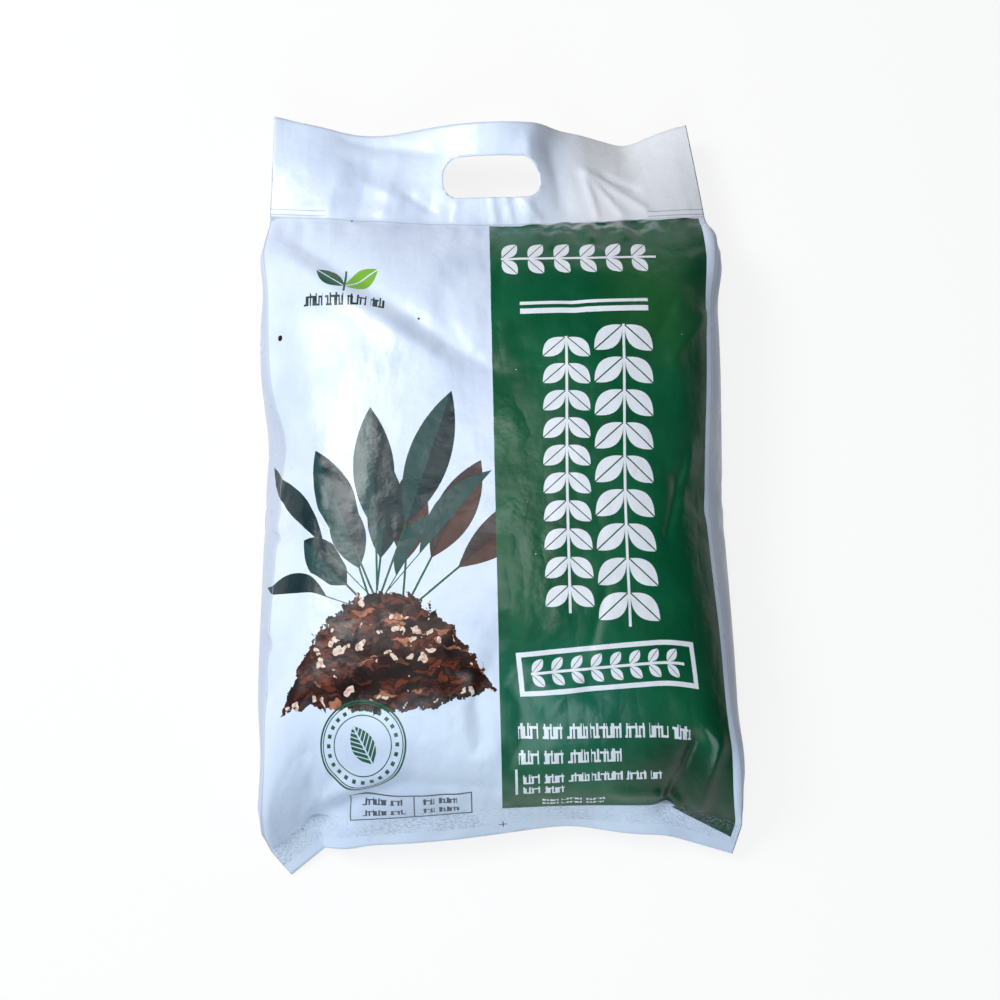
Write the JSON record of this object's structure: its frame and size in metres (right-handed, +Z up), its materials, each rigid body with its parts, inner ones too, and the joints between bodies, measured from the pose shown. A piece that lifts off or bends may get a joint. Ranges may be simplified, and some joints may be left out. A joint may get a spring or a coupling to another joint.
{
  "type": "compost bag",
  "caption": "Filled and welded side-gusset film bag of compost, lying on its back, with a flat header, a carrying slot and a green and white printed front.",
  "frame": {"origin": "on the floor, under the middle of the lying bag's outline", "axes": "+X to the right of the print, +Y from the bottom weld towards the header, +Z up through the fill, out of the printed front"},
  "size_m": [0.3164, 0.5106, 0.1027],
  "materials": {
    "printed_film": "satin"
  },
  "bodies": {
    "root": {"compost_bag": "printed_film"}
  },
  "joints": []
}
